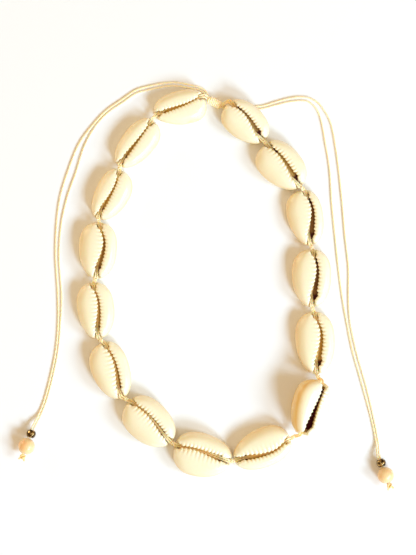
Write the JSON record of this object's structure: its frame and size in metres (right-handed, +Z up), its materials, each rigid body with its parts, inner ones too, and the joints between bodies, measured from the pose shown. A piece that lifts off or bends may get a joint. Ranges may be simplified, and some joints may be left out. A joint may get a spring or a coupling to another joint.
{
  "type": "cowrie shell necklace",
  "caption": "Necklace of sliced cowrie shells knotted on doubled waxed cord, closed by a sliding knot, with free tails that end in beads.",
  "frame": {"origin": "middle of the loop's box, on the surface that the shells rest on", "axes": "+Z up off the surface with the slits facing it, +Y along the loop's longest way toward the sliding knot, +X toward the longer tail"},
  "size_m": [0.1573, 0.1716, 0.0137],
  "materials": {
    "cowrie_shell": "natural polished shell, gloss",
    "waxed_cord": "waxed, satin",
    "dark_brass": "antiqued, polished",
    "pale_wood": "varnished, satin"
  },
  "bodies": {
    "root": {"shell_01": "cowrie_shell", "shell_02": "cowrie_shell", "shell_03": "cowrie_shell", "shell_04": "cowrie_shell", "shell_05": "cowrie_shell", "shell_06": "cowrie_shell", "shell_07": "cowrie_shell", "shell_08": "cowrie_shell", "shell_09": "cowrie_shell", "shell_10": "cowrie_shell", "shell_11": "cowrie_shell", "shell_12": "cowrie_shell", "shell_13": "cowrie_shell", "shell_14": "cowrie_shell", "shell_15": "cowrie_shell", "string_knot_01": "waxed_cord", "string_knot_02": "waxed_cord", "string_knot_03": "waxed_cord", "string_knot_04": "waxed_cord", "string_knot_05": "waxed_cord", "string_knot_06": "waxed_cord", "string_knot_07": "waxed_cord", "string_knot_08": "waxed_cord", "string_knot_09": "waxed_cord", "string_knot_10": "waxed_cord", "string_knot_11": "waxed_cord", "string_knot_12": "waxed_cord", "string_knot_13": "waxed_cord", "string_knot_14": "waxed_cord", "string_outer": "waxed_cord", "string_inner": "waxed_cord", "sliding_knot": "waxed_cord", "tail_left_outer": "waxed_cord", "tail_left_inner": "waxed_cord", "tail_right_outer": "waxed_cord", "tail_right_inner": "waxed_cord", "metal_bead_left": "dark_brass", "wood_bead_left": "pale_wood", "end_knot_left": "waxed_cord", "metal_bead_right": "dark_brass", "wood_bead_right": "pale_wood", "end_knot_right": "waxed_cord"}
  },
  "joints": []
}
